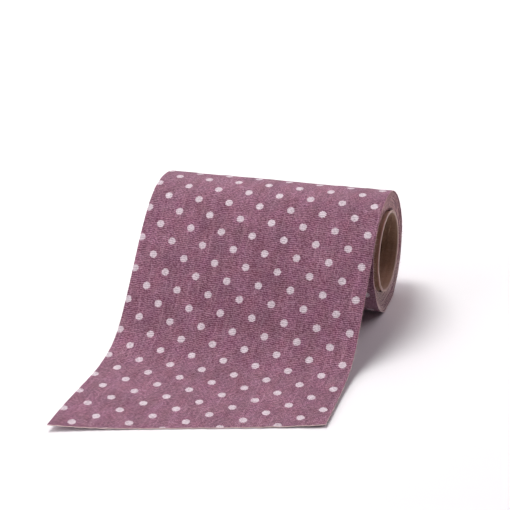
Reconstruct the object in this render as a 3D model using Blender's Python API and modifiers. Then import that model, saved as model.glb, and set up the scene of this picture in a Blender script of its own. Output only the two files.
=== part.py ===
"""A roll of cotton ribbon on a cardboard core, lying on its side with its free end drawn out.

The roll's axis runs along X. The free end leaves the roll near its top, slopes down towards -Y
and lies flat on the surface. The surface is z = 0, and the origin is under the middle of the
whole thing. All sizes are in metres and all angles are in degrees.
"""
import math

import bpy
import numpy as np

# The ribbon and its roll
RIBBON_WIDTH = 0.100
SHEET_THICKNESS = 0.001
ROLL_RADIUS = 0.0256
AXIS_HEIGHT = 0.0254      # a little under the radius: the roll sits down on a small flat spot
GAP = 0.0003              # between pieces that lie against each other

# The cardboard core, which sits a little back and low in the soft winding
CORE_INNER_RADIUS = 0.0163
CORE_WALL = 0.0012
CORE_LENGTH = 0.1002
CORE_BACK = 0.0008        # from the roll's axis, towards +Y
CORE_DROP = 0.0005        # from the roll's axis, downwards
CORE_CHAMFER = 0.0003

# How the loose end leaves the roll and comes down
LEAVING_ANGLE = 32.0      # from the top of the roll towards the front
STEEPEST_SLOPE = 47.4
STRAIGHTEN_LENGTH = 0.012  # over which the curl of the roll runs out
LANDING_LENGTH = 0.00615   # how softly the slope eases onto the surface
LEVEL_BELOW = 0.3          # slopes gentler than this are level, so the landed cloth is flat
FREE_REACH_LEFT = 0.1244   # from the roll's axis forward to the free end's left corner
FREE_REACH_RIGHT = 0.0962  # the same at the right corner, as the end is cut on a slant
SLANT_MARGIN = 0.004       # from the right corner back to the last row that is square across

# How uneven the sloping cloth lies
SIDE_DIP = 0.00125        # it hangs this much lower at its right edge than midway
DIP_STARTS = 0.030        # before the leaving line, on top of the roll
DIP_FULL = 0.015          # past the leaving line
DIP_GONE = 70.0           # past the leaving line, on the turn below

# How the landed cloth curls up, by distance past the leaving line
CURL_FROM = 0.3           # share of the half width, from the middle line
LEFT_CURL = 0.0022        # lift of the free end's left corner
LEFT_CURL_FROM = 0.080
LEFT_CURL_OVER = 0.042
RIGHT_CURL = 0.0009       # lift of the right edge
RIGHT_CURL_FROM = 0.055
RIGHT_CURL_OVER = 0.020

# How uneven the wound cloth is
SAG = 0.0007              # how far the lower half of the soft roll settles
TUCK = 0.0015             # how far the turn under the leaving cloth lies below it
TUCK_UNTIL = 10.0         # past the leaving line, where that turn starts to rise again
TUCK_GONE = 90.0
RIGHT_RECESS = 0.0012     # how far the turns beside the core are pushed in at the right end
LEFT_RECESS = 0.0008
RECESS_SWING = 0.4        # how the recess varies around the roll: deepest in front
RECESS_REACH = 0.5        # share of the winding, from the core outwards

# Edge of the wound cloth at the right end: how far it stands out, around the roll
EDGE_WANDER = (
    # angle from the top towards the front, stand-out
    (0.0, 0.0000),
    (35.0, -0.0002),
    (65.0, -0.0004),
    (90.0, 0.0000),
    (115.0, 0.0003),
    (180.0, 0.0002),
    (225.0, 0.0000),
    (270.0, 0.0000),
    (315.0, -0.0004),
)

# Mesh steps
ROLL_SECTIONS = 96
ROLL_CROSS_STEPS = 4
END_DEPTHS = (0.0, 0.14, 0.3, 0.5, 0.75, 1.0)  # from the core out to the last turn
SHEET_STEPS_SLOPE = 40
SHEET_STEPS_FREE = 10
SHEET_CROSS_STEPS = 12
CORE_STEPS = 72
LINE_STEP = 0.00025
LINE_LENGTH = 0.16
LANDING_GUESS = 0.06
LANDING_PASSES = 6
SHARP_ANGLE = 40.0
MESH_MERGE = 0.00001

ROLL_Y = (FREE_REACH_LEFT - ROLL_RADIUS) / 2
HALF_WIDTH = RIBBON_WIDTH / 2


def smooth(t):
    """Rise from 0 to 1 as t goes from 0 to 1, level at both ends."""
    t = np.clip(t, 0.0, 1.0)
    return t * t * (3.0 - 2.0 * t)


def side_dip(distance, slope):
    """Dip of the cloth's right edge at a distance past the leaving line, for its slope.

    It grows from a little before the leaving line to a little past it, and it fades with the
    slope as the cloth lands. Before the leaving line, distances are negative.
    """
    grown = smooth((distance + DIP_STARTS) / (DIP_STARTS + DIP_FULL))
    steep = np.maximum(np.sin(slope), 0.0) / math.sin(math.radians(STEEPEST_SLOPE))
    return SIDE_DIP * grown * steep


# ---------------------------------------------------------------- the roll's own surface
def tuck_under(angle):
    """Depth of the turn below the leaving cloth, which it regains by a quarter turn further."""
    past = np.degrees(angle) - LEAVING_ANGLE
    return TUCK * (1.0 - smooth((past - TUCK_UNTIL) / (TUCK_GONE - TUCK_UNTIL)))


def roll_dip(angle):
    """Dip of the roll's right edge: that of the cloth on top, fading on the turn below it."""
    leaving = math.radians(LEAVING_ANGLE)
    past = angle - leaving
    before = past - 2.0 * math.pi
    on_top = side_dip(before * ROLL_RADIUS, angle)
    at_leaving = side_dip(np.zeros(1), np.full(1, leaving))[0]
    below = at_leaving * (1.0 - smooth(past / math.radians(DIP_GONE)))
    return np.where(past > math.pi, on_top, below)


def edge_wander(angle):
    """Stand-out of the cloth's edge around the roll, eased between the rows of its table."""
    table = np.array(EDGE_WANDER)
    turn = np.degrees(angle) % 360.0
    starts = table[:, 0]
    ends = np.append(starts[1:], 360.0)
    row = np.searchsorted(starts, turn, side="right") - 1
    share = smooth((turn - starts[row]) / (ends[row] - starts[row]))
    following = (row + 1) % len(starts)
    return table[row, 1] * (1.0 - share) + table[following, 1] * share


def end_offset(angle, depth, recess):
    """Stand-out of the winding's end face, from the core at depth 0 to the last turn at 1."""
    front = 1.0 - RECESS_SWING + RECESS_SWING * np.sin(angle)
    return edge_wander(angle) * depth - recess * front * (1.0 - smooth(depth / RECESS_REACH))


def roll_points():
    """Points of the wound cloth on a grid that closes on itself both ways.

    One way goes round the roll, from the turn just below the leaving line to the step where
    the cloth leaves. The other goes round the wall: along the outside from left to right, in
    over the right end, back along the core and out over the left end.
    """
    leaving = math.radians(LEAVING_ANGLE)
    step = GAP / ROLL_RADIUS
    angle = np.linspace(leaving, leaving + 2.0 * math.pi - step, ROLL_SECTIONS)[:, None]
    across = np.linspace(-1.0, 1.0, ROLL_CROSS_STEPS + 1)[None, :]
    depths = np.array(END_DEPTHS)[None, :]

    def at(radius, x, centre_y, centre_z):
        y = centre_y - radius * np.sin(angle)
        z = centre_z + radius * np.cos(angle)
        return np.stack(np.broadcast_arrays(x, y, z), axis=-1)

    outer = ROLL_RADIUS - tuck_under(angle) - roll_dip(angle) * across
    outer_x = across * (HALF_WIDTH + edge_wander(angle))
    outside = at(outer, outer_x, ROLL_Y, AXIS_HEIGHT)
    settled = outside[..., 2] - SAG * np.maximum(-np.cos(angle), 0.0)
    outside[..., 2] = np.maximum(settled, 0.0)

    bore = CORE_INNER_RADIUS + CORE_WALL + GAP
    inside = at(bore, across[:, ::-1], ROLL_Y + CORE_BACK, AXIS_HEIGHT - CORE_DROP)
    left_x = -HALF_WIDTH - end_offset(angle, depths, LEFT_RECESS)
    right_x = HALF_WIDTH + end_offset(angle, depths, RIGHT_RECESS)

    def end_face(x, inner_edge, outer_edge):
        share = depths[..., None]
        face = inner_edge[:, None] * (1.0 - share) + outer_edge[:, None] * share
        face[..., 0] = x
        return face

    right_face = end_face(right_x, inside[:, 0], outside[:, -1])
    left_face = end_face(left_x, inside[:, -1], outside[:, 0])
    return np.concatenate([outside, right_face[:, -2::-1], left_face[:, :-1]], axis=1)


def grid_faces(rows, columns, wraps):
    """Quads of a grid of points, closed both ways when it wraps."""
    last_row = rows if wraps else rows - 1
    last_column = columns if wraps else columns - 1
    row = np.arange(last_row)[:, None]
    column = np.arange(last_column)[None, :]
    next_row = (row + 1) % rows
    next_column = (column + 1) % columns
    corners = (
        row * columns + column,
        next_row * columns + column,
        next_row * columns + next_column,
        row * columns + next_column,
    )
    return np.stack(corners, axis=-1).reshape(-1, 4)


def add_mesh(name, points, faces, material, collection):
    """Make one named object from points and quads, shaded smooth but for its sharp edges."""
    mesh = bpy.data.meshes.new(name)
    mesh.from_pydata(points.reshape(-1, 3).tolist(), [], faces.tolist())
    mesh.shade_smooth()
    mesh.set_sharp_from_angle(angle=math.radians(SHARP_ANGLE))
    mesh.materials.append(material)
    obj = bpy.data.objects.new(name, mesh)
    collection.objects.link(obj)
    return obj


def make_roll(material, collection):
    """The wound cloth: one solid ring with uneven ends and a step where the loose end leaves."""
    points = roll_points()
    faces = grid_faces(points.shape[0], points.shape[1], wraps=True)
    return add_mesh("roll", points, faces, material, collection)


# ---------------------------------------------------------------- the loose end
def slope_along(distance, landing):
    """Slope of the loose end below level, in radians, at a distance past the leaving line.

    It starts at the leaving angle and nears the steepest slope as an exponential, and a
    logistic step centred on the landing distance brings it down to level.
    """
    rise = 1.0 - np.exp(-distance / STRAIGHTEN_LENGTH)
    slope = LEAVING_ANGLE + (STEEPEST_SLOPE - LEAVING_ANGLE) * rise
    landed = 1.0 / (1.0 + np.exp((distance - landing) / LANDING_LENGTH))
    return np.radians(np.maximum(slope * landed - LEVEL_BELOW, 0.0))


def running_sum(rate):
    """Integral of a rate along the cloth's line, from 0 at its start."""
    middle = (rate[1:] + rate[:-1]) / 2
    return np.concatenate([[0.0], np.cumsum(middle) * LINE_STEP])


def loose_line():
    """The loose end's middle line: distance, slope, forward reach and height.

    The landing distance is moved until the line comes down to half a thickness, so that the
    cloth lies on the surface.
    """
    leaving = math.radians(LEAVING_ANGLE)
    start = ROLL_RADIUS - SHEET_THICKNESS / 2
    height = AXIS_HEIGHT + start * math.cos(leaving)
    distance = np.arange(0.0, LINE_LENGTH, LINE_STEP)
    landing = LANDING_GUESS
    for _ in range(LANDING_PASSES):
        slope = slope_along(distance, landing)
        fall = running_sum(np.sin(slope))
        short = height - SHEET_THICKNESS / 2 - fall[-1]
        landing += short / math.sin(math.radians(STEEPEST_SLOPE))
    reach = start * math.sin(leaving) + running_sum(np.cos(slope))
    return distance, slope, reach, np.maximum(height - fall, SHEET_THICKNESS / 2)


def loose_points():
    """Points of the loose end's middle surface, in rows along it and columns across it."""
    distance, slope, reach, height = loose_line()
    across = np.linspace(-1.0, 1.0, SHEET_CROSS_STEPS + 1)[None, :]
    cut = FREE_REACH_LEFT + (FREE_REACH_RIGHT - FREE_REACH_LEFT) * (across + 1.0) / 2
    cut_distance = np.interp(cut, reach, distance)
    square = np.interp(FREE_REACH_RIGHT, reach, distance) - SLANT_MARGIN
    sloping = np.linspace(GAP, square, SHEET_STEPS_SLOPE + 1)[:, None] + 0.0 * across
    share = np.linspace(0.0, 1.0, SHEET_STEPS_FREE + 1)[1:, None]
    free = square + share * (cut_distance - square)
    along = np.concatenate([sloping, free])

    tilt = np.interp(along, distance, slope)
    lowered = -side_dip(along, tilt) * across
    y = ROLL_Y - np.interp(along, distance, reach) - lowered * np.sin(tilt)
    z = np.interp(along, distance, height) + lowered * np.cos(tilt)
    left = np.clip((-across - CURL_FROM) / (1.0 - CURL_FROM), 0.0, 1.0) ** 2
    right = np.clip((across - CURL_FROM) / (1.0 - CURL_FROM), 0.0, 1.0) ** 2
    z = z + LEFT_CURL * left * smooth((along - LEFT_CURL_FROM) / LEFT_CURL_OVER)
    z = z + RIGHT_CURL * right * smooth((along - RIGHT_CURL_FROM) / RIGHT_CURL_OVER)
    x = HALF_WIDTH * across + 0.0 * along
    return np.stack([x, y, z], axis=-1)


def make_loose_end(material, collection):
    """The loose end: one curved sheet with its thickness, cut on a slant."""
    points = loose_points()
    faces = grid_faces(points.shape[0], points.shape[1], wraps=False)
    obj = add_mesh("loose_end", points, faces, material, collection)
    thickness = obj.modifiers.new("thickness", "SOLIDIFY")
    thickness.thickness = SHEET_THICKNESS
    thickness.offset = 0.0
    return obj


# ---------------------------------------------------------------- the cardboard core
def make_core(material, collection):
    """The cardboard tube: a wall with chamfered rims, turned about the X axis."""
    inner = CORE_INNER_RADIUS
    outer = CORE_INNER_RADIUS + CORE_WALL
    end = CORE_LENGTH / 2
    cut = CORE_CHAMFER
    profile = (
        # along, radius
        (end - cut, outer),
        (-end + cut, outer),
        (-end, outer - cut),
        (-end, inner + cut),
        (-end + cut, inner),
        (end - cut, inner),
        (end, inner + cut),
        (end, outer - cut),
    )
    points = [(x, 0.0, radius) for x, radius in profile]
    edges = [(i, (i + 1) % len(points)) for i in range(len(points))]
    mesh = bpy.data.meshes.new("core")
    mesh.from_pydata(points, edges, [])
    mesh.materials.append(material)
    obj = bpy.data.objects.new("core", mesh)
    obj.location = (0.0, ROLL_Y + CORE_BACK, AXIS_HEIGHT - CORE_DROP)
    collection.objects.link(obj)
    turn = obj.modifiers.new("turn", "SCREW")
    turn.axis = "X"
    turn.angle = 2.0 * math.pi
    turn.steps = CORE_STEPS
    turn.render_steps = CORE_STEPS
    turn.use_merge_vertices = True
    turn.merge_threshold = MESH_MERGE
    turn.use_smooth_shade = True
    return obj


# ---------------------------------------------------------------- materials
def plain_material(name, colour, roughness):
    """A Principled material of one colour, given as linear red, green and blue."""
    material = bpy.data.materials.new(name)
    material.use_nodes = True
    shader = material.node_tree.nodes["Principled BSDF"]
    shader.inputs["Base Color"].default_value = (*colour, 1.0)
    shader.inputs["Roughness"].default_value = roughness
    shader.inputs["Metallic"].default_value = 0.0
    return material


def ribbon_material():
    """Mauve cotton, as it lies on the loose end."""
    return plain_material("ribbon_cloth", (0.30, 0.12, 0.20), 0.9)


def wound_material():
    """The same cotton wound up, a little deeper in the shade of its own turns."""
    return plain_material("wound_cloth", (0.26, 0.11, 0.17), 0.9)


def core_material():
    """Grey-brown cardboard."""
    return plain_material("cardboard", (0.34, 0.25, 0.18), 0.85)


def build():
    for obj in list(bpy.data.objects):
        bpy.data.objects.remove(obj, do_unlink=True)
    collection = bpy.data.collections.new("ribbon_roll")
    bpy.context.scene.collection.children.link(collection)
    make_core(core_material(), collection)
    make_roll(wound_material(), collection)
    make_loose_end(ribbon_material(), collection)


build()
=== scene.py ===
import math

import bpy
import numpy as np
from mathutils import Matrix, Vector


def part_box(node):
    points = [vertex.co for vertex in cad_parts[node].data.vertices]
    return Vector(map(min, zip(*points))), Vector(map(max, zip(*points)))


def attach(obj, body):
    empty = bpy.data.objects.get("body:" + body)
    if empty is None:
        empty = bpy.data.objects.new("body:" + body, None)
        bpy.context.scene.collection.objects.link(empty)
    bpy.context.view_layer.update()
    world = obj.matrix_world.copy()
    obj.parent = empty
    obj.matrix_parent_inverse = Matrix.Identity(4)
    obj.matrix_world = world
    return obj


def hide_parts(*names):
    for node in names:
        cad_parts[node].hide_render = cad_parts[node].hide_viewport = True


# A roll of linen-look cotton ribbon printed with polka dots. It is wound on a cardboard core
# and lies on its side, with its free end drawn out over the table. Sizes are in metres.
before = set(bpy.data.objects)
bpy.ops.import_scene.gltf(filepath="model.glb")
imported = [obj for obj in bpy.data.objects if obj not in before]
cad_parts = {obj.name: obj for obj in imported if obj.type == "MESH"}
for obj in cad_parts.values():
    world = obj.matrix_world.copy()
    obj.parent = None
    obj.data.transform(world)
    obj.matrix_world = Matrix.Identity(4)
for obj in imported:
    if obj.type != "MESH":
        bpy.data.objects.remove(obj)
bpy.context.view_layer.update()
core_low, core_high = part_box("core")
roll_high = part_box("roll")[1]
loose_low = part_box("loose_end")[0]


# ======================================== the cardboard core
# A tube of brown board, wound from glued plies on a slant, with a seam that runs round it as
# a screw does. It is sawn to length, so its two rims show the paler, rougher cut board.
CORE_WALL = 0.0012
CORE_RIM_ROUND = 0.00028      # how far the sawn rims are worn round
CORE_RIM_PALE = 1.9           # times that, in from the ends, where their pale colour is lost
CORE_SEAM_TWIST = 38.0        # turns of the seam for each metre of tube
CORE_SEAM_WIDTH = 0.0007
CORE_SEAM_DEPTH = 0.00012
MATT_SPECULAR = 0.25          # nothing here is glossy
CORE_STEPS_ROUND = 192
CORE_STEPS_LONG = 40
CORE_STEPS_SEAM = 9
CORE_STEPS_RIM = 5            # round each worn edge of a rim
SAWN_UNEVEN = 0.00004         # how far the sawn rims wave in and out
SAWN_WAVES = 3.0              # round the tube
# The outside of the wall is painted redder: painted bounce light from the mauve cloth
BOUNCE_TINT_SPAN = (0.6, 0.9)        # shares of the wall, between which the painted pink bounce light begins
BOUNCE_TINT_SHARE = 0.9
BOARD_GRAIN_DEPTH = 0.00012
BOARD_DARK = (0.349, 0.204, 0.132)
BOARD_LIGHT = (0.523, 0.329, 0.231)
BOARD_CUT = (0.543, 0.385, 0.348)
BOARD_BOUNCE_TINT = (0.660, 0.275, 0.245)

core_y = (core_low.y + core_high.y) / 2
core_z = (core_low.z + core_high.z) / 2
core_end = core_high.x
core_outer = (core_high.z - core_low.z) / 2
core_bore = core_outer - CORE_WALL


def smooth(t):
    """Rise from 0 to 1 as t does, level at both ends: three t squared less two t cubed."""
    t = np.clip(t, 0.0, 1.0)
    return t * t * (3.0 - 2.0 * t)


def wander(place, spacing, seed):
    """Smooth random line: heights from -1 to 1 at even spacings, eased from each to the next."""
    place = np.asarray(place) / spacing
    first = np.floor(place.min())
    knots = np.random.default_rng(seed).uniform(-1.0, 1.0, int(place.max() - first) + 3)
    step = np.floor(place - first).astype(int)
    share = smooth(place - first - step)
    return knots[step] * (1.0 - share) + knots[step + 1] * share


def ring_faces(rows, columns, closed_rows=False):
    """Quads between neighbouring points of a grid whose columns close on themselves."""
    row = np.arange(rows if closed_rows else rows - 1)[:, None]
    column = np.arange(columns)[None, :]
    next_row, next_column = (row + 1) % rows, (column + 1) % columns
    corners = (
        row * columns + column,
        row * columns + next_column,
        next_row * columns + next_column,
        next_row * columns + column,
    )
    return np.stack(corners, axis=-1).reshape(-1, 4)


def put_in_scene(name, data):
    """Make an object of a mesh, a lamp or a camera, and put it in the scene."""
    thing = bpy.data.objects.new(name, data)
    bpy.context.scene.collection.objects.link(thing)
    return thing


def add_piece(name, points, faces, material, sharp_angle=180.0):
    """Make a piece from its points and lists of each face's points, smooth up to an angle."""
    mesh = bpy.data.meshes.new(name)
    mesh.from_pydata(points.reshape(-1, 3).tolist(), [], faces)
    mesh.shade_smooth()
    if sharp_angle < 180.0:
        mesh.set_sharp_from_angle(angle=math.radians(sharp_angle))
    mesh.materials.append(material)
    return put_in_scene(name, mesh)


def place_node(tree, kind, inputs=None, output=0, **settings):
    """Add a shader node, set it up, feed its inputs with numbers or other nodes' outputs, and
    return one of its outputs."""
    node = tree.nodes.new(kind)
    for key, value in settings.items():
        setattr(node, key, value)
    for key, value in (inputs or {}).items():
        if isinstance(value, bpy.types.NodeSocket):
            tree.links.new(value, node.inputs[key])
        else:
            node.inputs[key].default_value = value
    return node.outputs[output]


def calc(tree, operation, first, second=0.0, third=0.0):
    """One step of arithmetic in a shader."""
    return place_node(tree, "ShaderNodeMath", {0: first, 1: second, 2: third}, operation=operation)


def average(tree, first, second):
    """Mean of two values in a shader."""
    return calc(tree, "MULTIPLY", calc(tree, "ADD", first, second), 0.5)


def vector_calc(tree, operation, first, second=(0.0, 0.0, 0.0), output=0):
    """One step of arithmetic with places or directions in a shader."""
    return place_node(
        tree, "ShaderNodeVectorMath", {0: first, 1: second}, output=output, operation=operation)


def noise(tree, place, across, along, detail=2.0, shift=0.0, third=1.0):
    """Noise from 0 to 1 whose patches are about the sizes across and along, in metres. The
    shift moves it, so that noises of one size differ."""
    scaled = vector_calc(tree, "MULTIPLY", place, (1.0 / across, 1.0 / along, 1.0 / third))
    moved = vector_calc(tree, "ADD", scaled, (shift, -shift, shift))
    return place_node(
        tree, "ShaderNodeTexNoise", {"Vector": moved, "Scale": 1.0, "Detail": detail})


def spread(tree, value, low, high, to_low=0.0, to_high=1.0):
    """Map a value between two limits to another two, eased at both ends."""
    return place_node(
        tree, "ShaderNodeMapRange",
        {0: value, 1: low, 2: high, 3: to_low, 4: to_high}, interpolation_type="SMOOTHSTEP")


def blend_colours(tree, share, first, second):
    """Blend two colours by a share from 0 to 1."""
    first = first if isinstance(first, bpy.types.NodeSocket) else (*first, 1.0)
    second = second if isinstance(second, bpy.types.NodeSocket) else (*second, 1.0)
    return place_node(
        tree, "ShaderNodeMix", {0: share, 6: first, 7: second}, output=2, data_type="RGBA")


def new_finish(name, sheen=0.0, sheen_tint=(1.0, 1.0, 1.0)):
    """Start a material and return it with its node tree and its shader."""
    material = bpy.data.materials.new(name)
    material.use_nodes = True
    shader = material.node_tree.nodes["Principled BSDF"]
    shader.inputs["Sheen Weight"].default_value = sheen
    shader.inputs["Sheen Tint"].default_value = (*sheen_tint, 1.0)
    shader.inputs["Specular IOR Level"].default_value = MATT_SPECULAR
    return material, material.node_tree, shader


def finish_surface(tree, shader, colour, roughness, height, depth):
    """Wire colour, roughness and a height from 0 to 1, depth metres deep, to the shader."""
    bump = place_node(
        tree, "ShaderNodeBump", {"Height": height, "Distance": depth, "Strength": 1.0})
    tree.links.new(colour, shader.inputs["Base Color"])
    tree.links.new(roughness, shader.inputs["Roughness"])
    tree.links.new(bump, shader.inputs["Normal"])


def core_points():
    """Points of the tube: a closed outline of its wall, turned about the tube's own line.

    The first parameter goes round the tube and the second along the outline. Each point turns
    with its distance along the tube, so that the screw seam is a line of the grid, pressed in.
    """
    seam = CORE_SEAM_WIDTH / (math.tau * core_bore)
    fine = np.linspace(-seam, seam, CORE_STEPS_SEAM)
    coarse = np.linspace(fine[-1], 1.0 + fine[0], CORE_STEPS_ROUND)[1:-1]
    share = np.concatenate([fine, coarse])[:, None]
    quarter = np.linspace(0.0, math.pi / 2, CORE_STEPS_RIM)
    along = core_end - CORE_RIM_ROUND
    rounded = CORE_RIM_ROUND
    rim_x = np.concatenate([along + rounded * np.sin(quarter), along + rounded * np.cos(quarter)])
    rim_r = np.concatenate([
        core_outer - rounded + rounded * np.cos(quarter),
        core_bore + rounded - rounded * np.sin(quarter)])
    inside_x = np.linspace(along, -along, CORE_STEPS_LONG)[1:-1]
    outside_x = inside_x[::-1]
    x = np.concatenate([rim_x, inside_x, -rim_x[::-1], outside_x])[None, :]
    radius = np.concatenate([
        rim_r, np.full(len(inside_x), core_bore),
        rim_r[::-1], np.full(len(outside_x), core_outer)])[None, :]
    beside = np.clip(np.abs(np.where(share > 0.5, share - 1.0, share)) / fine[-1], 0.0, 1.0)
    inward = np.where(radius > (core_outer + core_bore) / 2, -1.0, 1.0)
    pressed = CORE_SEAM_DEPTH * (1.0 - smooth(beside)) * inward
    angle = math.tau * (share + CORE_SEAM_TWIST * x)
    sawn = SAWN_UNEVEN * np.sin(SAWN_WAVES * angle + 1.0) * (np.abs(x) > along)
    radius = radius + pressed
    x = x + sawn * np.sign(x)
    y = core_y - radius * np.sin(angle)
    z = core_z + radius * np.cos(angle)
    return np.stack(np.broadcast_arrays(x, y, z), -1)


def board_material():
    """Brown board: mottled, with slanting fibres, pale sawn rims and painted pink bounce light
    outside.
    """
    material, tree, shader = new_finish("cardboard", sheen=0.15)
    place = place_node(tree, "ShaderNodeTexCoord", output="Object")
    along = place_node(tree, "ShaderNodeSeparateXYZ", {0: place}, output="X")
    rim_from = core_end - CORE_RIM_PALE * CORE_RIM_ROUND
    rim = spread(tree, calc(tree, "ABSOLUTE", along), rim_from, core_end - CORE_RIM_ROUND)
    mottling = noise(tree, place, 0.006, 0.006, detail=4.0, third=0.006)
    fibres = noise(tree, place, 0.0035, 0.0004, detail=3.0, shift=5.0, third=0.0004)
    grain = noise(tree, place, 0.0006, 0.0006, detail=3.0, shift=9.0, third=0.0006)
    tone = spread(tree, average(tree, mottling, fibres), 0.3, 0.7)
    board = blend_colours(tree, tone, BOARD_DARK, BOARD_LIGHT)
    beside_line = vector_calc(tree, "MULTIPLY", place, (0.0, 1.0, 1.0))
    from_line = vector_calc(tree, "DISTANCE", beside_line, (0.0, core_y, core_z), output="Value")
    # painted pink bounce light from the cloth on the outside of the wall
    tint_from, tint_to = (core_bore + CORE_WALL * share for share in BOUNCE_TINT_SPAN)
    outside = spread(tree, from_line, tint_from, tint_to, 0.0, BOUNCE_TINT_SHARE)
    board = blend_colours(tree, outside, board, BOARD_BOUNCE_TINT)
    cut = blend_colours(tree, calc(tree, "MULTIPLY", grain, 0.5), BOARD_CUT, BOARD_LIGHT)
    colour = blend_colours(tree, rim, board, cut)
    roughness = spread(tree, mottling, 0.2, 0.8, 0.62, 0.86)
    finish_surface(
        tree, shader, colour, roughness, average(tree, fibres, grain), BOARD_GRAIN_DEPTH)
    return material


tube_points = core_points()
tube_faces = ring_faces(*tube_points.shape[:2], closed_rows=True).tolist()
core_tube = add_piece("core_tube", tube_points, tube_faces, board_material(), sharp_angle=50.0)
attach(core_tube, "root")
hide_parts("core")


# ======================================== the wound turns
# The ribbon is one strip of plain-woven cloth, printed on its outer side, and wound from its
# inner end, which sticks to the core. The turns aren't quite even, so their cut edges show at
# the ends of the roll as rings that stand in and out.
CLOTH_THICKNESS = 0.00036
HALF_WIDTH = 0.050
EDGE_BULGE = 0.3              # of half the thickness, by which a cut edge is rounded out
CLOTH_SHARP_ANGLE = 40.0
CAD_ROLL_RADIUS = 0.0256      # of the solid roll, whose box places the axis
OUTER_RADIUS = 0.02546        # of the printed side, where the cloth leaves the roll
TURN_PITCH = 0.000463
WOUND_TURNS = 16.144          # from the leaving line in to the core
HUGGING_TURNS = 4.0           # the innermost, which lie round on the core and climb over its end
LEAVING_ANGLE = math.radians(32.0)   # from the top of the roll towards the front
STEEPEST_SLOPE = math.radians(47.08)
SAME_ANGLE = 1e-9             # nearer than this, two angles are one
SAG = 0.00098                 # how far the soft roll settles down towards the table
SIDE_DIP = 0.00125            # of the right edge, where the cloth is steepest
DIP_RISE = (-0.030, 0.045)    # where it starts past the leaving line, and over what length
DIP_FADES_OVER = math.radians(70.0)   # round the roll, in front of the leaving line
RIGHT_RECESS = 0.0020         # how far the innermost turns' edges are pushed in
LEFT_RECESS = 0.0011
LEFT_RECESS_LESS = 0.6        # share of it that the front lacks
RECESS_EVEN = 0.56            # share of the recess at the top and the bottom. The front has all
RECESS_RISE = (2.0, 7.0)      # in turns in from the last: the start and the number of them
LAST_STANDS_OUT = 0.00040     # how far the last turn's right edge stands out past the next
LAST_STEP_RISE = (0.95, 0.25)
EDGE_UNEVEN = 0.00028
LAST_UNEVEN = 0.3             # share of that in the last turn
UNEVEN_RISE = (0.0, 3.0)
RIGHT_EDGE_WAVES = ((1.0, 0.031, 3), (0.5, 0.009, 4))   # share of it, spacing, seed of each
LEFT_EDGE_WAVES = ((1.0, 0.027, 5), (0.5, 0.010, 6))
EDGE_WANDER = (
    # degrees from the top towards the front, stand-out of the last turn's right edge
    (0.0, 0.0000),
    (35.0, -0.0002),
    (65.0, -0.0004),
    (90.0, 0.0000),
    (115.0, 0.0004),
    (180.0, 0.0002),
    (225.0, 0.0000),
    (270.0, 0.0000),
    (315.0, -0.0004),
)
SLACK = 0.0575                # share more cloth than the turns are long
SLACK_FROM = 0.035            # past the leaving line, back along the roll
CROSS_YARNS_APART = 0.00084
LONG_YARNS_APART = 0.00066
PRINT_SKEW = 0.0155           # slant of the weave and its print across the cloth
PRINT_SKEW_MORE = 0.0075      # added to it towards the free end
SKEW_RISE = (-0.030, 0.070)
STEPS_A_TURN = 120
WOUND_COLUMNS = 9

axis_y = roll_high.y - CAD_ROLL_RADIUS
axis_z = roll_high.z - CAD_ROLL_RADIUS
middle_radius = OUTER_RADIUS - CLOTH_THICKNESS / 2


def rising(value, start, over):
    """Rise from 0 at the start to 1, over that much of the value."""
    return smooth((value - start) / over)


def side_dip(distance, slope):
    """Dip of the cloth's right edge at a distance past the leaving line, for its slope."""
    steepness = np.maximum(np.sin(slope), 0.0) / math.sin(STEEPEST_SLOPE)
    return SIDE_DIP * rising(distance, *DIP_RISE) * steepness


def roll_dip(angle):
    """Dip of a turn's right edge at an angle round the roll: grown towards the leaving line on
    top, and faded in front of it."""
    past = angle - LEAVING_ANGLE
    before = (past - math.tau) * OUTER_RADIUS
    at_line = side_dip(np.zeros(1), np.full(1, LEAVING_ANGLE))[0]
    below = at_line * (1.0 - smooth(past / DIP_FADES_OVER))
    return np.where(past > math.pi, side_dip(before, angle), below)


def edge_wander(angle):
    """Stand-out of the last turn's right edge round the roll, eased between its table's rows."""
    table = np.array(EDGE_WANDER)
    turn = np.degrees(angle) % 360.0
    starts = table[:, 0]
    ends = np.append(starts[1:], 360.0)
    row = np.searchsorted(starts, turn, side="right") - 1
    share = smooth((turn - starts[row]) / (ends[row] - starts[row]))
    return table[row, 1] * (1.0 - share) + table[(row + 1) % len(starts), 1] * share


def wound_middle(wind, across):
    """Middle surface of the wound cloth: a spiral about the roll's axis.

    Wind is the angle back from the leaving line, 0 there and negative on the roll. The radius
    shrinks by one pitch each turn, less the side dip. The innermost turns keep their radius for
    half a turn and make up for it in the other half. The turns' centre shifts evenly to the
    core's, going in. The lower half settles by the sag times the cosine, less towards the core,
    and where it meets the table the turns lie stacked flat on each other.
    """
    turns = -wind / math.tau
    outward = np.clip(1.0 - turns / WOUND_TURNS, 0.0, 1.0)
    angle = LEAVING_ANGLE + wind
    turned = angle % math.tau
    before_line = turned < LEAVING_ANGLE - SAME_ANGLE
    dip = roll_dip(np.where(before_line, turned + math.tau, turned))
    inward = WOUND_TURNS - turns
    lap = np.floor(inward)
    hugging = np.clip(1.0 - lap / HUGGING_TURNS, 0.0, 1.0)
    held_in = hugging * (inward - lap - smooth(2.0 * (inward - lap) - 1.0))
    radius = middle_radius - TURN_PITCH * (turns + held_in) - dip * across * outward
    shift = 1.0 - outward
    y = axis_y + shift * (core_y - axis_y) - radius * np.sin(angle)
    sag = SAG * outward * np.maximum(-np.cos(angle), 0.0)
    z = axis_z + shift * (core_z - axis_z) + radius * np.cos(angle) - sag
    return y, np.maximum(z, CLOTH_THICKNESS / 2 + TURN_PITCH * turns)


def edge_waves(length, waves):
    """Sum of smooth random lines of those heights, spacings and seeds."""
    return sum(height * wander(length, spacing, seed) for height, spacing, seed in waves)


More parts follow.
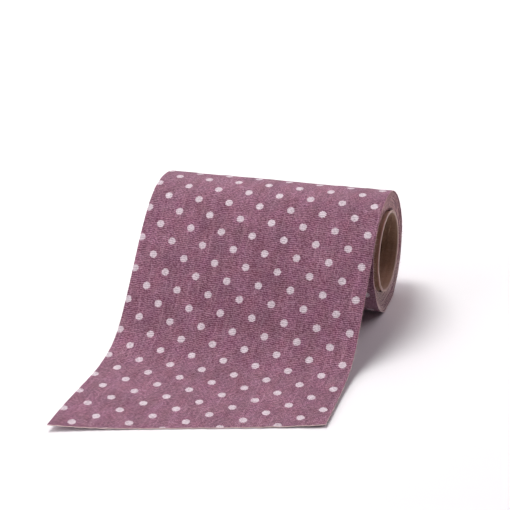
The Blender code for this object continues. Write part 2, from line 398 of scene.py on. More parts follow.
def wound_edges(wind):
    """How far the left and right edges stand out round the turns. The last turn follows its
    table, and the turns towards the core stand further in, most at the front."""
    turns = -wind / math.tau
    angle = LEAVING_ANGLE + wind
    outward = np.clip(1.0 - turns / WOUND_TURNS, 0.0, 1.0)
    inner = rising(turns, *RECESS_RISE)
    front = RECESS_EVEN + (1.0 - RECESS_EVEN) * np.sin(angle)
    length = wind * OUTER_RADIUS
    uneven = EDGE_UNEVEN * (LAST_UNEVEN + (1.0 - LAST_UNEVEN) * rising(turns, *UNEVEN_RISE))
    right = edge_wander(angle) * outward - LAST_STANDS_OUT * rising(turns, *LAST_STEP_RISE)
    right = right - RIGHT_RECESS * front * inner + uneven * edge_waves(length, RIGHT_EDGE_WAVES)
    left = -LEFT_RECESS * (1.0 - LEFT_RECESS_LESS * front) * inner
    left = left + uneven * edge_waves(length, LEFT_EDGE_WAVES)
    return left, right


def turn_points(wind, across):
    """Points of the middle surface of the turns, with their edges standing in and out."""
    y, z = wound_middle(wind, across)
    left_out, right_out = wound_edges(wind)
    x = across * HALF_WIDTH + np.where(across > 0, right_out, -left_out) * np.abs(across)
    return np.stack(np.broadcast_arrays(x, y, z), -1)


def cloth_length(wind):
    """Length of the printed side from the leaving line: the radius summed over the angle. A
    little further back the turns are slack, so a share more cloth lies in them."""
    length = OUTER_RADIUS * wind + TURN_PITCH * wind * wind / (4.0 * math.pi)
    return length + SLACK * np.minimum(length + SLACK_FROM, 0.0)


def print_skew(distance):
    """How much the weave and its print slant across the cloth, which eases along it."""
    return PRINT_SKEW + PRINT_SKEW_MORE * rising(distance, *SKEW_RISE)


def cloth_strip(name, middle, distance, material):
    """Make cloth of its thickness from a grid of middle points, its cut edges a little rounded.

    A closed outline is carried along the cloth: the printed side from left to right, the right
    cut edge, the back from right to left and the left cut edge. The two ends are closed. The
    cloth's own map gives metres across and along it.
    """
    along, across = np.gradient(middle, axis=0), np.gradient(middle, axis=1)
    normal = np.cross(across, -along)
    normal /= np.linalg.norm(normal, axis=-1, keepdims=True)
    half = CLOTH_THICKNESS / 2
    outer, inner = middle + half * normal, middle - half * normal
    out_right = middle[:, -1:] - middle[:, -2:-1]
    out_left = middle[:, :1] - middle[:, 1:2]
    out_right /= np.linalg.norm(out_right, axis=-1, keepdims=True)
    out_left /= np.linalg.norm(out_left, axis=-1, keepdims=True)
    right = middle[:, -1:] + EDGE_BULGE * half * out_right
    left = middle[:, :1] + EDGE_BULGE * half * out_left
    loop = np.concatenate([outer, right, inner[:, ::-1], left], axis=1)
    rows, columns = middle.shape[:2]
    count = loop.shape[1]
    faces = ring_faces(rows, count)
    column = np.arange(columns - 1)
    back = 2 * columns - column
    first_end = np.stack([column, back, back - 1, column + 1], -1)
    last_end = (first_end + (rows - 1) * count)[:, ::-1]
    rim = np.array([[columns - 1, columns + 1, columns], [0, 2 * columns + 1, 2 * columns]])
    triangles = np.concatenate([rim, (rim + (rows - 1) * count)[:, ::-1]])
    quads = np.concatenate([faces, first_end, last_end])
    piece = add_piece(
        name, loop, quads.tolist() + triangles.tolist(), material, CLOTH_SHARP_ANGLE)

    mesh = piece.data
    skewed = distance - print_skew(distance) * middle[..., 0]
    flat = np.stack([middle[..., 0], skewed], -1)
    flat_loop = np.concatenate([flat, flat[:, -1:], flat[:, ::-1], flat[:, :1]], axis=1)
    flat_loop = flat_loop.reshape(-1, 2)
    corner = np.empty(len(mesh.loops), dtype=np.int32)
    mesh.loops.foreach_get("vertex_index", corner)
    mesh.uv_layers.new(name="weave").data.foreach_set("uv", flat_loop[corner].ravel())
    place = np.tile(np.arange(count), rows - 1)
    printed = (place < columns - 1).astype(float)
    cut = ((place >= columns - 1) & (place < columns + 1)) | (place >= 2 * columns)
    ends = len(quads) + len(triangles) - len(faces)
    printed = np.concatenate([printed, np.zeros(ends)])
    cut = np.concatenate([cut.astype(float), np.ones(ends)])
    mesh.attributes.new("printed", "FLOAT", "FACE").data.foreach_set("value", printed)
    mesh.attributes.new("cut_edge", "FLOAT", "FACE").data.foreach_set("value", cut)
    return piece


def new_group(name, inputs, outputs):
    """Start a node group with named sockets. Return it, what it is given and what it gives."""
    group = bpy.data.node_groups.new(name, "ShaderNodeTree")
    for label, kind, value in inputs:
        socket = group.interface.new_socket(label, in_out="INPUT", socket_type=kind)
        if value is not None:
            socket.default_value = value
    for label, kind in outputs:
        group.interface.new_socket(label, in_out="OUTPUT", socket_type=kind)
    given = group.nodes.new("NodeGroupInput").outputs
    gives = group.nodes.new("NodeGroupOutput").inputs
    return group, given, gives


def use_group(tree, group, inputs):
    """Put a node group into a material, feed it, and return its outputs."""
    node = tree.nodes.new("ShaderNodeGroup")
    node.node_tree = group
    for key, value in inputs.items():
        tree.links.new(value, node.inputs[key])
    return node.outputs


def plain_weave_group():
    """Plain weave: yarns across the cloth pass over and under yarns along it.

    Given a place on the cloth in metres, the two spacings and how far the yarns sway, it puts
    out a tone from 0 to 1 that differs from yarn to yarn and along each, a height, and a mask
    of thick pale yarns. Height is the absolute sine across each yarn, times a low power of the
    other yarns' sine, and the product of both sines says which yarn is on top.
    """
    quick_share, quick_size = 0.6, 0.22         # of the slow sway
    tone_apart, thick_apart = 5.37, 3.71        # steps in the noise from one yarn to the next
    yarn_contrast, fleck_contrast = 0.35, 1.75  # in the tone, which follows the height
    tone_below_height, thick_height = 0.26, 0.25
    warp_share, warp_lift = 0.8, 0.05           # of the long yarns' tone
    weft_over_from, weft_over_to = -0.42, -0.12  # product of the sines, as it comes on top
    group, given, gives = new_group(
        "plain weave",
        [("Place", "NodeSocketVector", None),
         ("Cross Yarn Spacing", "NodeSocketFloat", CROSS_YARNS_APART),
         ("Long Yarn Spacing", "NodeSocketFloat", LONG_YARNS_APART),
         ("Waviness", "NodeSocketFloat", 0.0018)],
        [(label, "NodeSocketFloat") for label in ("Tone", "Height", "Thick Yarn")])
    place = given["Place"]
    apart = group.nodes.new("ShaderNodeSeparateXYZ")
    group.links.new(place, apart.inputs[0])
    x, y = apart.outputs["X"], apart.outputs["Y"]

    def yarn_count(along, spacing, across_size, along_size, shift):
        """Yarns up to a place: the distance, swayed slowly and quickly, over the spacing."""
        slow = noise(group, place, across_size, along_size, 1.0, shift)
        quick = noise(
            group, place, across_size * quick_size, along_size * quick_size, 1.0, shift + 1.0)
        both = calc(group, "MULTIPLY_ADD", quick, quick_share, slow)
        sway = calc(group, "SUBTRACT", both, (1.0 + quick_share) / 2)
        swayed = calc(group, "MULTIPLY_ADD", sway, given["Waviness"], along)
        return calc(group, "DIVIDE", swayed, given[spacing])

    weft = yarn_count(y, "Cross Yarn Spacing", 0.009, 0.016, 3.0)
    warp = yarn_count(x, "Long Yarn Spacing", 0.016, 0.009, 7.0)
    weft_wave = calc(group, "SINE", calc(group, "MULTIPLY", weft, math.pi))
    warp_wave = calc(group, "SINE", calc(group, "MULTIPLY", warp, math.pi))
    weft_round = calc(group, "ABSOLUTE", weft_wave)
    warp_round = calc(group, "ABSOLUTE", warp_wave)
    both_waves = calc(group, "MULTIPLY", weft_wave, warp_wave)
    weft_on_top = spread(group, both_waves, weft_over_from, weft_over_to)
    weft_height = calc(group, "MULTIPLY", weft_round, calc(group, "POWER", warp_round, 0.25))
    warp_height = calc(group, "MULTIPLY", warp_round, calc(group, "POWER", weft_round, 0.35))

    def on_top(warp_value, weft_value):
        """The value of whichever yarn is on top."""
        return place_node(
            group, "ShaderNodeMix", {0: weft_on_top, 2: warp_value, 3: weft_value},
            data_type="FLOAT")

    def yarn_noise(across, along, detail):
        """Noise from 0 to 1, at places given in patches."""
        spot = place_node(group, "ShaderNodeCombineXYZ", {0: across, 1: along, 2: 0.0})
        return place_node(
            group, "ShaderNodeTexNoise", {"Vector": spot, "Scale": 1.0, "Detail": detail})

    def times(value, factor):
        """A value times a factor."""
        return calc(group, "MULTIPLY", value, factor)

    def over(distance, patch):
        """A distance counted in patches of that length."""
        return calc(group, "DIVIDE", distance, patch)

    height = on_top(warp_height, weft_height)
    weft_number = calc(group, "FLOOR", weft)
    warp_number = calc(group, "FLOOR", warp)
    weft_tone = yarn_noise(over(x, 0.0016), times(weft_number, tone_apart), 1.0)
    warp_tone = yarn_noise(times(warp_number, tone_apart), over(y, 0.0020), 1.0)
    weft_thick = yarn_noise(over(x, 0.0085), times(weft_number, thick_apart), 0.0)
    warp_thick = yarn_noise(times(warp_number, thick_apart), over(y, 0.0160), 0.0)
    warp_tone = calc(group, "MULTIPLY_ADD", warp_tone, warp_share, warp_lift)
    tone = on_top(warp_tone, weft_tone)
    tone = spread(group, tone, 0.25, 0.75)
    lowered = calc(group, "SUBTRACT", height, tone_below_height)
    tone = calc(group, "MULTIPLY_ADD", tone, yarn_contrast, lowered)
    flecks = noise(group, place, 0.0010, 0.0006, detail=1.0, shift=13.0)
    tone = calc(group, "MULTIPLY_ADD", calc(group, "SUBTRACT", flecks, 0.5), fleck_contrast, tone)
    weft_thick = calc(group, "MULTIPLY", spread(group, weft_thick, 0.70, 0.76), weft_round)
    warp_thick = calc(group, "MULTIPLY", spread(group, warp_thick, 0.66, 0.74), warp_round)
    thick = calc(group, "MAXIMUM", weft_thick, warp_thick)
    group.links.new(tone, gives["Tone"])
    group.links.new(calc(group, "MULTIPLY_ADD", thick, thick_height, height), gives["Height"])
    group.links.new(thick, gives["Thick Yarn"])
    return group


YARN_DARK = (0.107, 0.028, 0.054)
YARN_LIGHT = (0.435, 0.220, 0.304)
YARN_THICK = (0.499, 0.295, 0.374)
PRINT_INK = (0.805, 0.738, 0.778)
INK_RIM = (0.805, 0.670, 0.733)
CUT_YARN = (0.858, 0.585, 0.585)
CUT_YARN_DARK = (0.482, 0.262, 0.257)
# Cut edges and yarn ends are painted paler near the table: painted light bounced up from the table
YARN_BOUNCE_LIT = (0.970, 0.800, 0.760)
BOUNCE_LIT_FROM = 0.018           # above the table, where the painted bounce light on the cut edges begins
BOUNCE_LIT_TO = 0.0072            # below which the painted bounce light is strongest
BOUNCE_LIT_SHARE = 0.8
CUT_PALENESS = 0.92           # how far a cut edge hides the dyed yarns' colour
DOT_RADIUS = 0.00158
DOT_PITCH_ACROSS = 0.013645
DOT_PITCH_ALONG = 0.01374
DOT_START_ACROSS = -0.00818
DOT_START_ALONG = 0.03456
INK_RAGGED = 0.0007           # how far the dots' rims wander
INK_LOW = 0.00016             # how much more they hold on the high yarns than on the low ones
INK_EDGE = 0.00008            # half the softness of a rim
INK_THROUGH = 0.10            # share of the ink that shows on the back
INK_PRINTED = 0.86            # added to it on the printed side
THICK_PALENESS = 0.35         # how far the thick yarns are paler
WEAVE_DEPTH = 0.00016


def cut_yarn_group():
    """Colour of the yarns' undyed hearts, where they are cut.

    Given a place in the scene and a tone from 0 to 1, it blends two colours by the tone, and a
    paler one near the table: painted light, which stands in for light bounced up from the table.
    """
    group, given, gives = new_group(
        "cut yarn",
        [("Place", "NodeSocketVector", None), ("Tone", "NodeSocketFloat", 0.5)],
        [("Colour", "NodeSocketColor")])
    heart = blend_colours(group, given["Tone"], CUT_YARN_DARK, CUT_YARN)
    above_table = place_node(group, "ShaderNodeSeparateXYZ", {0: given["Place"]}, output="Z")
    # painted bounce light: paler towards the table
    bounce_lit = spread(group, above_table, BOUNCE_LIT_TO, BOUNCE_LIT_FROM, BOUNCE_LIT_SHARE, 0.0)
    group.links.new(blend_colours(group, bounce_lit, heart, YARN_BOUNCE_LIT), gives["Colour"])
    return group


plain_weave = plain_weave_group()
cut_yarn = cut_yarn_group()


def dot_depth(tree, place, radius):
    """Polka dots: the radius less the distance to the nearest point of either of two square
    lattices, the second half a pitch across and along from the first."""
    centred = vector_calc(tree, "SUBTRACT", place, (DOT_START_ACROSS, DOT_START_ALONG, 0.0))
    pitch = (DOT_PITCH_ACROSS, DOT_PITCH_ALONG, 1.0)
    distances = []
    for half in (0.0, 0.5):
        moved = vector_calc(tree, "ADD", centred, (half * pitch[0], half * pitch[1], 0.0))
        cell = vector_calc(tree, "DIVIDE", moved, pitch)
        whole = vector_calc(tree, "FLOOR", vector_calc(tree, "ADD", cell, (0.5, 0.5, 0.0)))
        away = vector_calc(tree, "MULTIPLY", vector_calc(tree, "SUBTRACT", cell, whole), pitch)
        distances.append(vector_calc(tree, "LENGTH", away, output="Value"))
    return calc(tree, "SUBTRACT", radius, calc(tree, "MINIMUM", *distances))


def varied(tree, place, across, along, shift, low, high):
    """A value that varies evenly between two limits, in patches of about those sizes."""
    patchy = noise(tree, place, across, along, detail=2.0, shift=shift)
    return spread(tree, patchy, 0.25, 0.75, low, high)


def ribbon_material():
    """Mauve cloth of dyed yarns that differ in tone, printed with pale dots on one side.

    The ink sits on the high yarns and is thinner on the low ones, so the dots' rims are ragged.
    The back is plain, with the dots only just showing through, and cut edges show the paler
    heart of the yarns.
    """
    material, tree, shader = new_finish("printed_cloth", sheen=0.25, sheen_tint=(1.0, 0.82, 0.90))
    uv = place_node(tree, "ShaderNodeUVMap", uv_map="weave")
    weave = use_group(tree, plain_weave, {"Place": uv})
    tone, height, thick = weave["Tone"], weave["Height"], weave["Thick Yarn"]
    printed = place_node(tree, "ShaderNodeAttribute", output="Fac", attribute_name="printed")
    cut = place_node(tree, "ShaderNodeAttribute", output="Fac", attribute_name="cut_edge")

    yarns = blend_colours(tree, tone, YARN_DARK, YARN_LIGHT)
    pale = calc(tree, "MULTIPLY", thick, THICK_PALENESS)
    yarns = blend_colours(tree, pale, yarns, YARN_THICK)
    clouds = varied(tree, uv, 0.018, 0.022, 2.0, 0.90, 1.10)
    patches_of_dye = varied(tree, uv, 0.007, 0.009, 17.0, 0.90, 1.10)
    streaks = varied(tree, uv, 0.0021, 0.045, 23.0, 0.92, 1.08)
    value = calc(tree, "MULTIPLY", calc(tree, "MULTIPLY", clouds, patches_of_dye), streaks)
    faded = place_node(tree, "ShaderNodeHueSaturation", {
        "Hue": varied(tree, uv, 0.006, 0.008, 29.0, 0.491, 0.509),
        "Saturation": varied(tree, uv, 0.006, 0.008, 37.0, 0.94, 1.06),
        "Value": value,
        "Color": yarns})

    ragged = noise(tree, uv, 0.0006, 0.0006, detail=1.0, shift=11.0)
    ragged = calc(tree, "SUBTRACT", ragged, 0.5)
    radius = calc(tree, "MULTIPLY_ADD", ragged, INK_RAGGED, DOT_RADIUS)
    radius = calc(tree, "MULTIPLY_ADD", calc(tree, "SUBTRACT", height, 0.5), INK_LOW, radius)
    depth = dot_depth(tree, uv, radius)
    dots = spread(tree, depth, -INK_EDGE, INK_EDGE)
    gaps = spread(tree, tone, 0.0, 0.60, 0.52, 1.0)
    uneven_load = noise(tree, uv, 0.005, 0.005, detail=0.0, shift=47.0)
    load = spread(tree, uneven_load, 0.3, 0.7, 0.88, 1.0)
    ink = calc(tree, "MULTIPLY", calc(tree, "MULTIPLY", dots, gaps), load)
    on_side = calc(tree, "MULTIPLY_ADD", printed, INK_PRINTED, INK_THROUGH)
    ink = calc(tree, "MULTIPLY", ink, on_side)
    print_colour = blend_colours(tree, spread(tree, depth, 0.0001, 0.0008), INK_RIM, PRINT_INK)
    colour = blend_colours(tree, ink, faded, print_colour)
    place = place_node(tree, "ShaderNodeTexCoord", output="Object")
    heart_tone = noise(tree, place, 0.0022, 0.0022, detail=3.0, third=0.0022)
    heart_tone = spread(tree, heart_tone, 0.32, 0.68)
    # cut yarn colour, with painted bounce light near the table
    heart = use_group(tree, cut_yarn, {"Place": place, "Tone": heart_tone})["Colour"]
    colour = blend_colours(tree, calc(tree, "MULTIPLY", cut, CUT_PALENESS), colour, heart)
    roughness = spread(tree, ink, 0.0, 1.0, 0.92, 0.74)
    finish_surface(tree, shader, colour, roughness, height, WEAVE_DEPTH)
    return material


ribbon_cloth = ribbon_material()
wound_steps = int(STEPS_A_TURN * (WOUND_TURNS - 1.0))
wind = np.linspace(-math.tau * WOUND_TURNS, -math.tau, wound_steps)[:, None]
across = np.linspace(-1.0, 1.0, WOUND_COLUMNS)[None, :]
wound_turns = cloth_strip(
    "wound_turns", turn_points(wind, across), cloth_length(wind) + 0.0 * across, ribbon_cloth)
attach(wound_turns, "root")
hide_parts("roll")


# ======================================== the last turn and the loose end
# The outer end of the same strip: one more turn round the roll, then drawn off its top, down
# to the table and flat along it. It keeps a slight wave, and its end is cut on a slant.
STRAIGHTEN_LENGTH = 0.012     # over which the curl of the roll runs out
LANDING_LENGTH = 0.00614      # how softly the slope eases onto the table
LANDED_HEIGHT = 0.00030       # of the middle of the cloth, which doesn't press flat
FREE_REACH_RIGHT = 0.0962     # from the roll's axis to the free end's right corner
CUT_WAVES = ((0.00016, 0.0014, 21),)   # height, spacing and seed of the slanting cut's waves
FRAY_HEIGHT = 0.00006
FRAY_SPACING = 0.0011
FRAY_POWER = 20               # of the share of the half width, which keeps the fraying outside
CURL_FROM = 0.3               # of the half width, where the corners begin to curl up
CURLS = (
    # side, height, the start of its rise past the leaving line, and its length
    (-1.0, 0.0022, 0.080, 0.042),
    (1.0, 0.0009, 0.055, 0.020),
)
WAVE_HEIGHT = 0.00022
WAVES = ((0.6, 0.021, 31), (0.4, 0.011, 32))   # share, size and seed of each
SLOPE_WAVE_RISE = (0.0, 0.020)         # start past the leaving line, and length
SLOPE_WAVE_FADE = (0.050, 0.015)
FLAT_WAVE_RISE = (0.058, 0.020)
FLAT_WAVE_SHARE = 0.6
PUCKER_HEIGHT = 0.00014       # of the lengthwise puckers round the top of the roll
PUCKER_LENGTH = 0.032
PUCKER_SLIMNESS = 8.0         # length over width
PUCKER_SEED = 51
PUCKER_RISE = (-0.060, 0.030)
PUCKER_FADE = (0.010, 0.050)
EDGE_STRAIGHT_AT = 0.030      # past the leaving line, where the last turn's shift aside is lost
LINE_STEP = 0.00025
LINE_LENGTH = 0.16            # more than the loose end needs
LANDING_GUESS = 0.065
LANDING_ROUNDS = 6
SQUARE_BEFORE = 0.004         # the right corner, where the rows begin to turn to the slant
COLUMN_CROWDING = 0.10        # how much closer together the columns are at the edges
PATCH_MARGIN = 40.0           # squares, so that the corners of all patches count from 0
LAST_COLUMNS = 92
LAST_STEPS_TURN = 150
LAST_STEPS_SLOPE = 96
LAST_STEPS_FREE = 34

free_reach_left = round(axis_y - loose_low.y, 6)   # the left corner's, to the micrometre


def slope_along(distance, landing):
    """Slope below level of the loose end: it starts at the leaving angle, nears the steepest
    slope as an exponential, and a logistic step at the landing distance brings it to level."""
    rise = 1.0 - np.exp(-distance / STRAIGHTEN_LENGTH)
    slope = LEAVING_ANGLE + (STEEPEST_SLOPE - LEAVING_ANGLE) * rise
    return slope / (1.0 + np.exp((distance - landing) / LANDING_LENGTH))


def running_sum(rate):
    """Integral of a rate along the line, from 0 at its start."""
    return np.concatenate([[0.0], np.cumsum((rate[1:] + rate[:-1]) / 2) * LINE_STEP])


def loose_line():
    """Distance, slope, reach and height of the loose end's middle line. The landing distance
    is moved until the line comes down to the landed height."""
    height = axis_z + middle_radius * math.cos(LEAVING_ANGLE)
    distance = np.arange(0.0, LINE_LENGTH, LINE_STEP)
    landing = LANDING_GUESS
    for _ in range(LANDING_ROUNDS):
        slope = slope_along(distance, landing)
        fall = running_sum(np.sin(slope))
        landing += (height - LANDED_HEIGHT - fall[-1]) / math.sin(STEEPEST_SLOPE)
    reach = middle_radius * math.sin(LEAVING_ANGLE) + running_sum(np.cos(slope))
    return distance, slope, reach, height - fall


def patches(x, y, size, seed):
    """Smooth random field from -1 to 1 whose patches are of that size: heights drawn at the
    corners of squares and eased between them."""
    x, y = np.broadcast_arrays(x / size + PATCH_MARGIN, y / size + PATCH_MARGIN)
    column, row = np.floor(x).astype(int), np.floor(y).astype(int)
    u, v = smooth(x - column), smooth(y - row)
    field = np.random.default_rng(seed).uniform(-1.0, 1.0, (row.max() + 2, column.max() + 2))
    near = field[row, column] * (1.0 - u) + field[row, column + 1] * u
    far = field[row + 1, column] * (1.0 - u) + field[row + 1, column + 1] * u
    return near * (1.0 - v) + far * v


def puckers(x, along):
    """Height of the lengthwise puckers, which fade out down the back of the roll and the slope."""
    faded = rising(along, *PUCKER_RISE) * (1.0 - rising(along, *PUCKER_FADE))
    field = patches(x * PUCKER_SLIMNESS, along, PUCKER_LENGTH, PUCKER_SEED)
    return PUCKER_HEIGHT * faded * field


def loose_points(across):
    """Middle surface of the loose end, in rows along it: the line carried across the width,
    lower at its right edge on the slope, with the free end's corners curling up."""
    distance, slope, reach, height = loose_line()
    cut = free_reach_left + (FREE_REACH_RIGHT - free_reach_left) * (across + 1.0) / 2
    cut_distance = np.interp(cut, reach, distance) + edge_waves(across * HALF_WIDTH, CUT_WAVES)
    square = np.interp(FREE_REACH_RIGHT, reach, distance) - SQUARE_BEFORE
    sloping = np.linspace(0.0, square, LAST_STEPS_SLOPE + 1)[1:, None] + 0.0 * across
    share = np.linspace(0.0, 1.0, LAST_STEPS_FREE + 1)[1:, None]
    along = np.concatenate([sloping, square + share * (cut_distance - square)])
    tilt = np.interp(along, distance, slope)
    x = HALF_WIDTH * across + 0.0 * along
    waves = sum(share * patches(x, along, size, seed) for share, size, seed in WAVES)
    on_slope = rising(along, *SLOPE_WAVE_RISE) * (1.0 - rising(along, *SLOPE_WAVE_FADE))
    on_table = FLAT_WAVE_SHARE * (1.0 + waves) * rising(along, *FLAT_WAVE_RISE)
    lift = WAVE_HEIGHT * (waves * on_slope + on_table) + puckers(x, along)
    lowered = lift - side_dip(along, tilt) * across
    y = axis_y - np.interp(along, distance, reach) - lowered * np.sin(tilt)
    z = np.interp(along, distance, height) + lowered * np.cos(tilt)
    for side, curl, start, over in CURLS:
        beside = np.clip((side * across - CURL_FROM) / (1.0 - CURL_FROM), 0.0, 1.0) ** 2
        z = z + curl * beside * rising(along, start, over)
    return np.stack([x, y, z], -1), along


even = np.linspace(-1.0, 1.0, LAST_COLUMNS)[None, :]
across = even * (1.0 + COLUMN_CROWDING * (1.0 - even * even))
wind = np.linspace(-math.tau, 0.0, LAST_STEPS_TURN + 1)[:, None]
turn_distance = cloth_length(wind) + 0.0 * across
last_turn = turn_points(wind, across)
raised = puckers(last_turn[..., 0], turn_distance)
last_turn[..., 1] -= raised * np.sin(LEAVING_ANGLE + wind)
last_turn[..., 2] += raised * np.cos(LEAVING_ANGLE + wind)
loose_end, loose_distance = loose_points(across)
edge_shift = last_turn[-1, :, 0] - HALF_WIDTH * across[0]
loose_end[..., 0] += edge_shift * (1.0 - rising(loose_distance, 0.0, EDGE_STRAIGHT_AT))
last_points = np.concatenate([last_turn, loose_end])
last_distance = np.concatenate([turn_distance, loose_distance])
for column, side, seed in ((0, across < 0, 41), (-1, across > 0, 42)):
    frayed = FRAY_HEIGHT * wander(last_distance[:, column, None], FRAY_SPACING, seed)
    last_points[..., 0] += frayed * side * np.abs(across) ** FRAY_POWER
loose_ribbon = cloth_strip("loose_ribbon", last_points, last_distance, ribbon_cloth)
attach(loose_ribbon, "root")
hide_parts("loose_end")


# ======================================== the yarn ends
# Nothing binds the cut edges, so the ends of the yarns stand out of them: the cross yarns'
# along both sides of the strip, in all its turns, and the lengthwise yarns' at the free end.
FRAYED_APART = 0.00070        # on the wound turns, near the table
FRAYED_HEIGHT = 0.012         # above which there are half as many
YARN_END_RADIUS = 0.00010     # the thickest
YARN_END_THINNEST = 0.6       # of that
YARN_END_TAPER = 0.65         # share of the radius that is lost at the tip
YARN_END_LENGTH = 0.00080     # the longest
YARN_END_SHORTEST = 0.4       # whose square is the shortest one's share of that
YARN_END_ROOT = 0.00012       # how far it starts inside the cloth
YARN_END_BEND = 0.35
YARN_END_LOWEST = 0.00003     # above the table
YARN_END_SIDES = 3
YARN_END_SHARES = (0.0, 0.35, 0.7, 1.0)
YARN_FUZZ_DEPTH = 0.00003
ASLANT = (0.26, 0.54, 0.80)   # no yarn end runs this way
WIND_STEPS = 4000


def yarn_end_points(start, outward, seed):
    """Slim tubes, one from each start: its middle line runs outwards for a random length and
    bends aside with the square of the share of that length, and its radius tapers."""
    random = np.random.default_rng(seed)
    count = len(start)
    share = np.array(YARN_END_SHARES)[None, :, None]
    drawn = random.uniform(YARN_END_SHORTEST, 1.0, (count, 1, 1))
    length = YARN_END_LENGTH * drawn ** 2 + YARN_END_ROOT
    bend = random.normal(0.0, YARN_END_BEND, (count, 1, 3))
    outward = np.broadcast_to(outward, start.shape)
    middle = start[:, None] + outward[:, None] * (length * share - YARN_END_ROOT)
    middle = middle + bend * length * share * share
    first = np.cross(outward, ASLANT)
    first /= np.linalg.norm(first, axis=-1, keepdims=True)
    second = np.cross(outward, first)
    turn = math.tau * np.arange(YARN_END_SIDES) / YARN_END_SIDES
    around = first[:, None] * np.cos(turn)[:, None] + second[:, None] * np.sin(turn)[:, None]
    thickness = random.uniform(YARN_END_THINNEST, 1.0, (count, 1, 1))
    radius = YARN_END_RADIUS * thickness * (1.0 - YARN_END_TAPER * share)
    points = middle[:, :, None] + radius[..., None] * around[:, None]
    points[..., 2] = np.maximum(points[..., 2], YARN_END_LOWEST)
    return points.reshape(count, -1, 3)


def add_yarn_ends(name, points, material):
    """Make one piece of all the tubes, each closed at its root and its tip."""
    rings, sides = len(YARN_END_SHARES), YARN_END_SIDES
    start = np.arange(len(points))[:, None, None] * rings * sides
    walls = (ring_faces(rings, sides)[None] + start).reshape(-1, 4)
    root = np.arange(sides)[::-1][None, None] + start
    tip = np.arange(sides)[None, None] + (rings - 1) * sides + start
    caps = np.concatenate([root, tip]).reshape(-1, sides)
    return add_piece(name, points, walls.tolist() + caps.tolist(), material)


def yarn_material():
    """Undyed hearts and dyed skins of the yarns, which differ from one end to the next."""
    material, tree, shader = new_finish("cut_yarns", sheen=0.3, sheen_tint=(1.0, 0.88, 0.90))
    place = place_node(tree, "ShaderNodeTexCoord", output="Object")
    tone = noise(tree, place, 0.0016, 0.0012, detail=2.0, third=0.0012)
    tone = spread(tree, tone, 0.3, 0.7)
    # cut yarn colour, with painted bounce light near the table
    colour = use_group(tree, cut_yarn, {"Place": place, "Tone": tone})["Colour"]
    fuzz = noise(tree, place, 0.0003, 0.0003, detail=1.0, shift=3.0, third=0.0003)
    roughness = spread(tree, fuzz, 0.2, 0.8, 0.85, 0.95)
    finish_surface(tree, shader, colour, roughness, fuzz, YARN_FUZZ_DEPTH)
    return material


def along_edge(places, distance, points):
    """Points at even distances along one edge of the cloth."""
    return np.stack([np.interp(places, distance, points[:, axis]) for axis in range(3)], -1)


yarn_ends = yarn_material()
wind = np.linspace(-math.tau * WOUND_TURNS, -math.tau, WIND_STEPS)
length = cloth_length(wind)
wind = np.interp(np.arange(length[0], length[-1], FRAYED_APART), length, wind)[:, None]
right_starts = turn_points(wind, np.ones((1, 1)))[:, 0]
left_starts = turn_points(wind, -np.ones((1, 1)))[:, 0]
kept = (right_starts[:, 2] < FRAYED_HEIGHT) | (np.arange(len(wind)) % 2 == 0)
right_starts, left_starts = right_starts[kept], left_starts[kept]
wound_yarn_ends = add_yarn_ends("wound_yarn_ends", np.concatenate([
    yarn_end_points(right_starts, (1.0, 0.0, 0.0), 61),
    yarn_end_points(left_starts, (-1.0, 0.0, 0.0), 62)]), yarn_ends)
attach(wound_yarn_ends, "root")

side_ends = []
for column, outward, seed in ((0, -1.0, 63), (-1, 1.0, 64)):
    distance = last_distance[:, column]
    places = np.arange(distance[0], distance[-1], CROSS_YARNS_APART)
    starts = along_edge(places, distance, last_points[:, column])
    side_ends.append(yarn_end_points(starts, (outward, 0.0, 0.0), seed))
places = np.arange(-HALF_WIDTH, HALF_WIDTH, LONG_YARNS_APART)
starts = along_edge(places, last_points[-1, :, 0], last_points[-1])
side_ends.append(yarn_end_points(starts, (0.0, -1.0, 0.0), 65))
loose_yarn_ends = add_yarn_ends("loose_yarn_ends", np.concatenate(side_ends), yarn_ends)
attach(loose_yarn_ends, "root")


# ======================================== the table, lamps and camera
# A plain white table, a lamp high on the left, wider and weaker ones round the roll, and a
# camera that looks down on the roll from its front right.
TABLE_SIZE = 3.0
TABLE_COLOUR = (0.940, 0.940, 0.940)
TABLE_ROUGHNESS = 0.9
LAMP_DISTANCE = 1.0
LAMPS = (
    # name, azimuth from the right round to the back, elevation, share of the light, half the
    # angle it spans, colour
    ("key_lamp", 146.0, 69.0, 0.580, 13.0, (1.0, 1.0, 1.0)),
    ("right_lamp", 30.0, 52.0, 0.240, 27.0, (1.0, 0.86, 0.95)),
    ("back_lamp", 120.0, 34.0, 0.245, 27.0, (1.0, 1.0, 1.0)),
    ("left_lamp", 210.0, 52.0, 0.125, 27.0, (1.0, 1.0, 1.0)),
    ("low_lamp", 220.0, 14.0, 0.175, 27.0, (1.0, 0.88, 0.96)),
)
SKY_STRENGTH = 0.02
CAMERA_PLACE = (0.17117, -0.48395, 0.27967)   # from the table below the middle of the roll
CAMERA_TURN = 20.504          # degrees to the left of straight ahead
CAMERA_DOWN = 27.0
CAMERA_ROLL = -3.322
CAMERA_LENS = 93.54

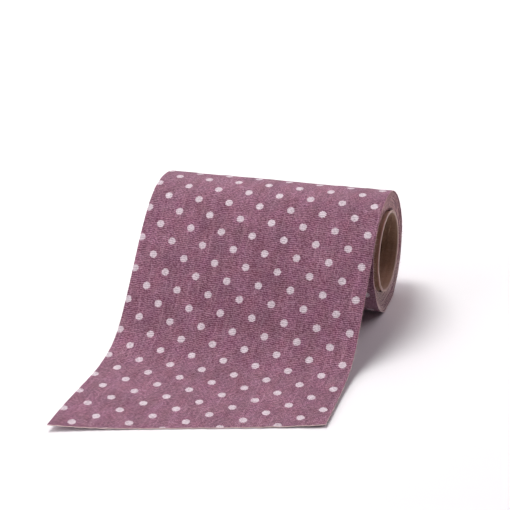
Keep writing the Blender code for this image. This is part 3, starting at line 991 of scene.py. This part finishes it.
table_finish, _, table_shader = new_finish("white_table")
table_shader.inputs["Base Color"].default_value = (*TABLE_COLOUR, 1.0)
table_shader.inputs["Roughness"].default_value = TABLE_ROUGHNESS
corners = np.array([(-1.0, -1.0, 0.0), (1.0, -1.0, 0.0), (1.0, 1.0, 0.0), (-1.0, 1.0, 0.0)])
table = add_piece("table", corners * TABLE_SIZE / 2, [(0, 1, 2, 3)], table_finish)

roll_foot = Vector((0.0, axis_y, 0.0))


def toward(azimuth, elevation):
    """Direction at an azimuth, counted from the right round to the back, and an elevation."""
    azimuth, elevation = math.radians(azimuth), math.radians(elevation)
    return Vector((
        math.cos(azimuth) * math.cos(elevation), math.sin(azimuth) * math.cos(elevation),
        math.sin(elevation)))


def add_lamp(name, direction, half_angle, share, colour):
    """A round lamp in a direction from the roll, facing it and spanning twice the half angle
    there. Its power lights the table to its share of white: share times the square of pi and
    of the distance, over the table's colour and the sine of the lamp's elevation."""
    light = bpy.data.lights.new(name, "AREA")
    light.shape = "DISK"
    light.color = colour
    light.size = 2.0 * LAMP_DISTANCE * math.tan(math.radians(half_angle))
    light.energy = share * (math.pi * LAMP_DISTANCE) ** 2 / (TABLE_COLOUR[0] * direction.z)
    lamp = put_in_scene(name, light)
    lamp.location = roll_foot + direction * LAMP_DISTANCE
    lamp.rotation_euler = direction.to_track_quat("Z", "Y").to_euler()


for name, azimuth, elevation, share, half_angle, colour in LAMPS:
    add_lamp(name, toward(azimuth, elevation), half_angle, share, colour)

world = bpy.data.worlds.new("studio")
bpy.context.scene.world = world
world.use_nodes = True
sky = world.node_tree.nodes["Background"].inputs
sky["Color"].default_value = (1.0, 1.0, 1.0, 1.0)
sky["Strength"].default_value = SKY_STRENGTH
bpy.context.scene.view_settings.view_transform = "Standard"

camera_data = bpy.data.cameras.new("camera")
camera_data.lens = CAMERA_LENS
camera = put_in_scene("camera", camera_data)
camera.matrix_world = (
    Matrix.Translation(roll_foot + Vector(CAMERA_PLACE))
    @ Matrix.Rotation(math.radians(CAMERA_TURN), 4, "Z")
    @ Matrix.Rotation(math.radians(90.0 - CAMERA_DOWN), 4, "X")
    @ Matrix.Rotation(math.radians(CAMERA_ROLL), 4, "Z"))
bpy.context.scene.camera = camera
